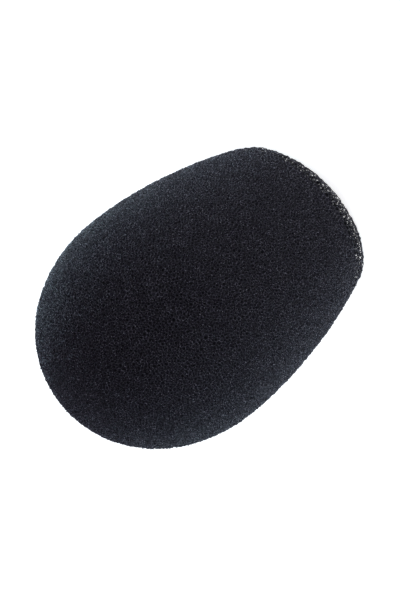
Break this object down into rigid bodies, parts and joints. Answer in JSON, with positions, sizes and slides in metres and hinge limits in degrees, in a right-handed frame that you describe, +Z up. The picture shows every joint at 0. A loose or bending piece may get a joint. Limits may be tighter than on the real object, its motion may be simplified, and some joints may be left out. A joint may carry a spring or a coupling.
{
  "type": "microphone foam windscreen",
  "caption": "Egg-shaped open-cell foam windscreen with a flat mouth and a blind round socket that grips a large studio microphone.",
  "frame": {"origin": "in the plane of the flat mouth, which the part stands on, under the middle of the widest section", "axes": "+Z up the egg, from the mouth to the top of the dome; +X to the side that the soft egg leans to, where the mouth's edge is softest"},
  "size_m": [0.09, 0.09, 0.12],
  "materials": {
    "open_cell_foam": "matt black reticulated polyurethane foam, open cells of about 1 mm"
  },
  "bodies": {
    "root": {"foam_body": "open_cell_foam"}
  },
  "joints": []
}
